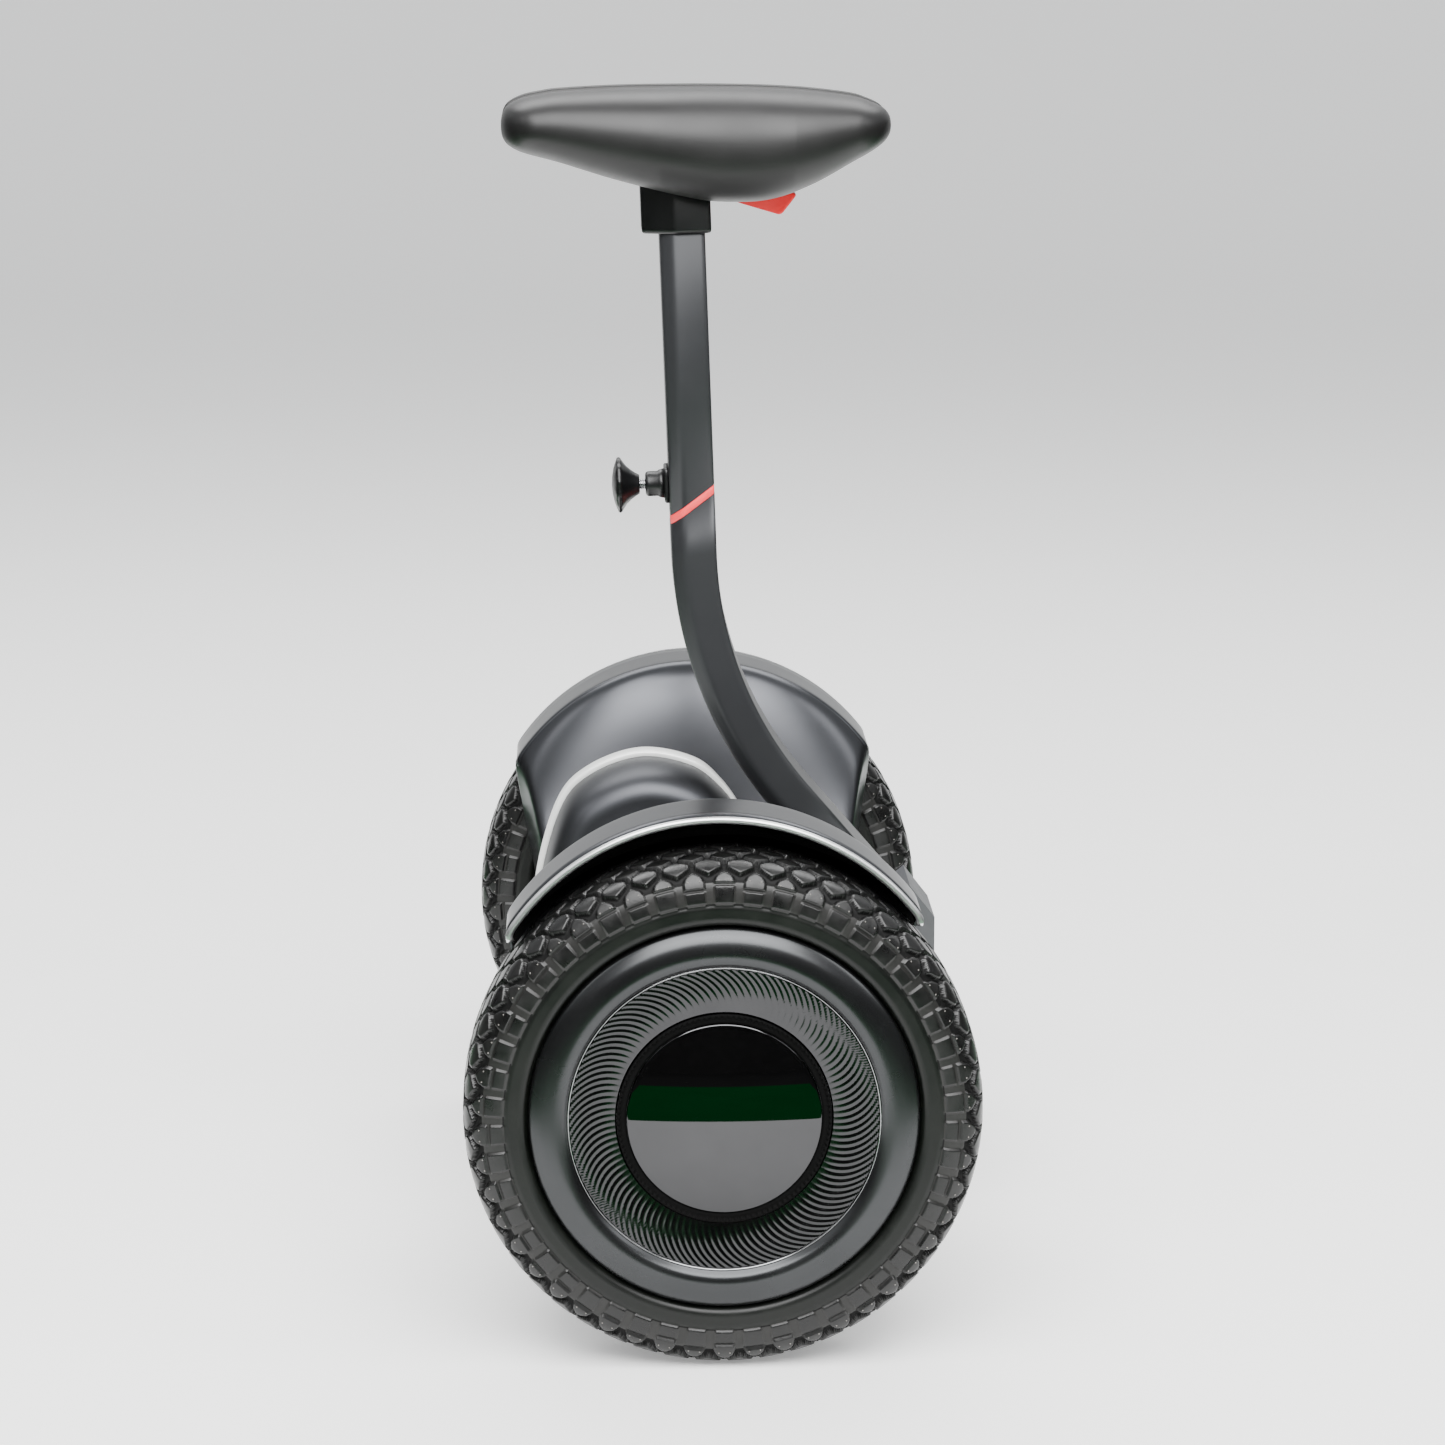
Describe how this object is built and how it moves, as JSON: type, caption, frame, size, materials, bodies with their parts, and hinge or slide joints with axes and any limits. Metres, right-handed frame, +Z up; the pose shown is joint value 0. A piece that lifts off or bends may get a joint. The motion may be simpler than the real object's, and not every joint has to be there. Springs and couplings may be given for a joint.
{
  "type": "self balancing hoverboard",
  "caption": "Self-balancing two-wheeled platform with hub-motor wheels, arched fenders, a central hump and a height-adjustable knee-steering post with a padded bar.",
  "frame": {"origin": "on the ground under the middle of the wheel axis", "axes": "+X forward, +Y to the rider's left along the wheel axis, +Z up"},
  "size_m": [0.267, 0.5492, 0.6412],
  "materials": {
    "tyre_rubber": "moulded matte",
    "cast_alloy": "cast satin",
    "magnet_steel": "satin",
    "bearing_steel": "ground",
    "satin_hub_plastic": "satin",
    "dark_chrome": "dark gloss",
    "gloss_cap": "mirror gloss",
    "stator_core": "wound",
    "satin_shell": "satin painted",
    "mat_rubber": "matte textured",
    "pad_skin": "satin skin",
    "trim_silver": "satin silver",
    "belly_plastic": "fine textured",
    "circuit_board": "lacquered",
    "soft_rubber": "matte",
    "lamp_clear": "clear gloss",
    "lamp_red": "red gloss",
    "black_plastic": "satin",
    "stem_paint": "satin powder coat",
    "stripe_red": "satin",
    "bare_alloy": "brushed",
    "lever_red": "gloss"
  },
  "bodies": {
    "chassis": {"left_fender": "satin_shell", "right_fender": "satin_shell", "upper_shell": "satin_shell", "lower_shell": "belly_plastic", "hump_cover": "satin_shell", "hump_trim": "trim_silver", "front_lamp": "lamp_clear", "rear_lamp": "lamp_red", "chassis_frame": "cast_alloy", "axle_clamps": "cast_alloy", "battery_pack": "belly_plastic", "battery_cover": "belly_plastic", "belly_screws": "bearing_steel", "control_board": "circuit_board", "foot_sensors": "circuit_board", "steering_bracket": "cast_alloy", "steering_bearings": "bearing_steel", "centring_rubber": "soft_rubber", "charge_port": "black_plastic", "left_axle": "bearing_steel", "right_axle": "bearing_steel", "left_stator": "stator_core", "right_stator": "stator_core"},
    "steering": {"pivot_shaft": "bearing_steel", "stem_foot": "stem_paint", "lower_stem": "stem_paint", "stripe_ring": "stripe_red", "inner_tube": "bare_alloy"},
    "sleeve": {"upper_tube": "stem_paint", "guide_bush": "black_plastic", "clamp_boss": "black_plastic", "collar": "black_plastic", "pad_frame": "black_plastic", "lever_pin": "bearing_steel", "left_knee_pad": "pad_skin", "right_knee_pad": "pad_skin"},
    "clamp": {"clamp_shoe": "black_plastic"},
    "knob": {"clamp_knob": "black_plastic", "clamp_screw": "bearing_steel"},
    "lever": {"release_lever": "lever_red"},
    "power_button": {"power_button": "black_plastic"},
    "charge_flap": {"charge_cap": "black_plastic"},
    "left_mat": {"left_foot_mat": "mat_rubber"},
    "right_mat": {"right_foot_mat": "mat_rubber"},
    "left_wheel": {"left_tyre": "tyre_rubber", "left_motor_shell": "cast_alloy", "left_motor_cover": "cast_alloy", "left_magnet_ring": "magnet_steel", "left_wheel_bearings": "bearing_steel", "left_hub_ring": "satin_hub_plastic", "left_swirl_ring": "dark_chrome", "left_hub_cap": "gloss_cap"},
    "right_wheel": {"right_tyre": "tyre_rubber", "right_motor_shell": "cast_alloy", "right_motor_cover": "cast_alloy", "right_magnet_ring": "magnet_steel", "right_wheel_bearings": "bearing_steel", "right_hub_ring": "satin_hub_plastic", "right_swirl_ring": "dark_chrome", "right_hub_cap": "gloss_cap"}
  },
  "joints": [
    {"name": "left_wheel_spin", "type": "hinge", "parent": "chassis", "child": "left_wheel", "pos_m": [0, 0.238, 0.1335], "axis": [0, 1, 0], "continuous": true},
    {"name": "right_wheel_spin", "type": "hinge", "parent": "chassis", "child": "right_wheel", "pos_m": [0, -0.238, 0.1335], "axis": [0, 1, 0], "continuous": true},
    {"name": "steering_lean", "type": "hinge", "parent": "chassis", "child": "steering", "pos_m": [0.07, 0, 0.148], "axis": [1, 0, 0], "range_deg": [-15, 15], "stiffness_Nm_per_rad": 60},
    {"name": "stem_height", "type": "slide", "parent": "steering", "child": "sleeve", "axis": [-0.0366, 0, 0.9993], "range_m": [0, 0.1]},
    {"name": "knob_turn", "type": "hinge", "parent": "clamp", "child": "knob", "pos_m": [-0.00979, 0, 0.42102], "axis": [-0.9993, 0, -0.0366], "range_deg": [0, 540]},
    {"name": "clamp_slide", "type": "slide", "parent": "sleeve", "child": "clamp", "axis": [-0.9993, 0, -0.0366], "range_m": [0, 0.0015]},
    {"name": "lever_pull", "type": "hinge", "parent": "sleeve", "child": "lever", "pos_m": [0.001, 0, 0.594], "axis": [0, -1, 0], "range_deg": [0, 12], "stiffness_Nm_per_rad": 0.4, "springref_deg": -11.46},
    {"name": "button_press", "type": "slide", "parent": "chassis", "child": "power_button", "axis": [1, 0, 0], "range_m": [0, 0.0015], "stiffness_N_per_m": 600, "springref_m": -0.001},
    {"name": "charge_flap_open", "type": "hinge", "parent": "chassis", "child": "charge_flap", "pos_m": [-0.0957, 0.07, 0.1565], "axis": [0, 1, 0], "range_deg": [0, 110]},
    {"name": "left_mat_press", "type": "slide", "parent": "chassis", "child": "left_mat", "axis": [0, 0, -1], "range_m": [0, 0.001], "stiffness_N_per_m": 8000, "springref_m": -0.0005},
    {"name": "right_mat_press", "type": "slide", "parent": "chassis", "child": "right_mat", "axis": [0, 0, -1], "range_m": [0, 0.001], "stiffness_N_per_m": 8000, "springref_m": -0.0005}
  ],
  "couplings": [
    {"joint": "clamp_slide", "follows": "knob_turn", "m_per_rad": 0.00015915}
  ]
}
